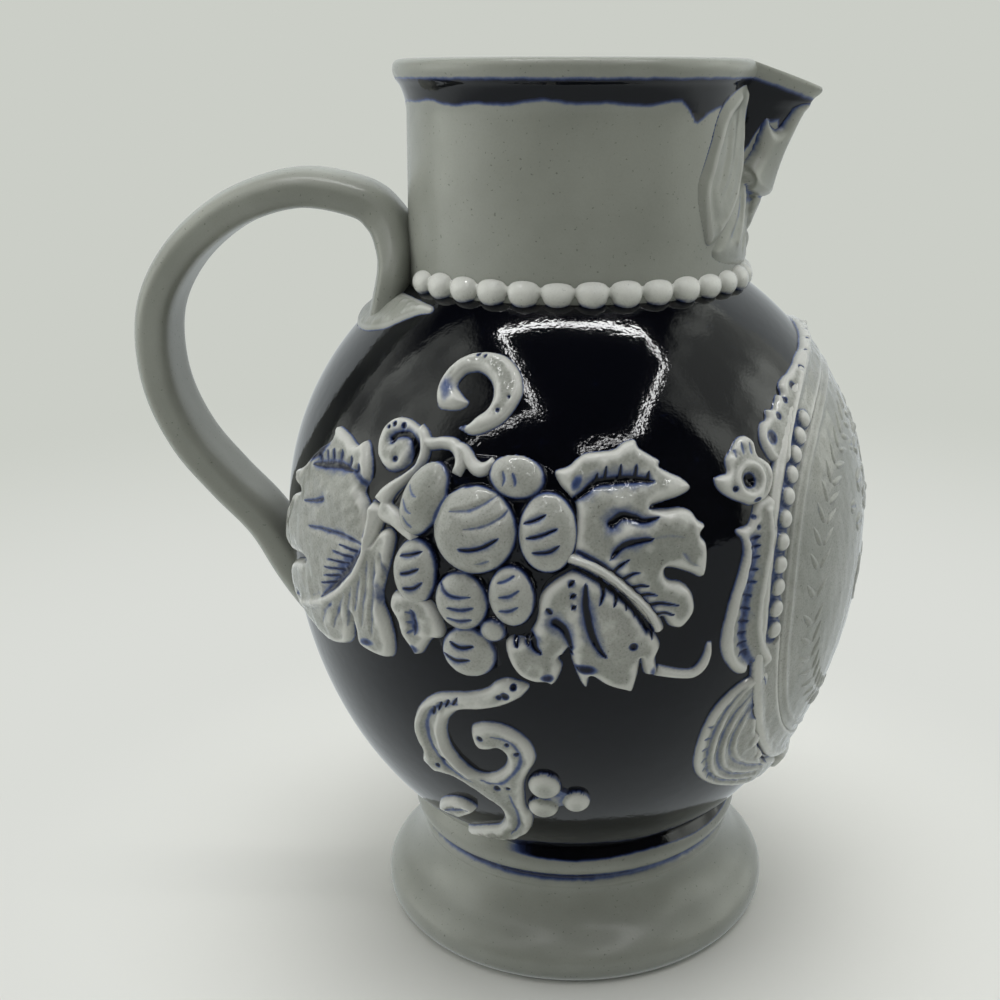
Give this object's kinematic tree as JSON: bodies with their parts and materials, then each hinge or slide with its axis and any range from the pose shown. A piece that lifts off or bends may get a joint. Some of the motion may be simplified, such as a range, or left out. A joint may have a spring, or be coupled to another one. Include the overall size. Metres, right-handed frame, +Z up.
{
  "type": "stoneware pitcher",
  "caption": "Small round-bellied stoneware pitcher in grey and cobalt glaze, with a beak spout, strap handle, bead collar, moulded vines and grapes and a front medallion",
  "frame": {"origin": "middle of the flat underside of the foot, on the surface that it rests on", "axes": "+Z up, +X towards the spout, -X towards the handle, Y across; the pitcher mirrors about the XZ plane"},
  "size_m": [0.1013, 0.0838, 0.12],
  "materials": {
    "grey_glaze": "glossy grey salt glaze with fine dark specks",
    "cobalt_glaze": "glossy near-black cobalt glaze",
    "relief_glaze": "glossy grey glaze, cobalt gathered in the grooves"
  },
  "bodies": {
    "root": {"bead_collar": "relief_glaze", "belly": "cobalt_glaze", "foot": "grey_glaze", "handle": "grey_glaze", "left_berries": "relief_glaze", "left_frame_bar": "relief_glaze", "left_frame_beads": "relief_glaze", "left_frame_rosette": "relief_glaze", "left_frame_volute": "relief_glaze", "left_front_lower_leaf": "relief_glaze", "left_front_upper_leaf": "relief_glaze", "left_grape_cluster": "relief_glaze", "left_hook_tendril": "relief_glaze", "left_lower_scroll": "relief_glaze", "left_middle_leaf": "relief_glaze", "left_rear_leaf": "relief_glaze", "left_stem_leaf": "relief_glaze", "left_top_scroll": "relief_glaze", "left_vine_tendril": "relief_glaze", "medallion_crest": "relief_glaze", "medallion_motif": "relief_glaze", "medallion_panel": "relief_glaze", "medallion_shell": "relief_glaze", "neck": "grey_glaze", "right_berries": "relief_glaze", "right_frame_bar": "relief_glaze", "right_frame_beads": "relief_glaze", "right_frame_rosette": "relief_glaze", "right_frame_volute": "relief_glaze", "right_front_lower_leaf": "relief_glaze", "right_front_upper_leaf": "relief_glaze", "right_grape_cluster": "relief_glaze", "right_hook_tendril": "relief_glaze", "right_lower_scroll": "relief_glaze", "right_middle_leaf": "relief_glaze", "right_rear_leaf": "relief_glaze", "right_stem_leaf": "relief_glaze", "right_top_scroll": "relief_glaze", "right_vine_tendril": "relief_glaze", "spout_leaf": "relief_glaze"}
  },
  "joints": []
}
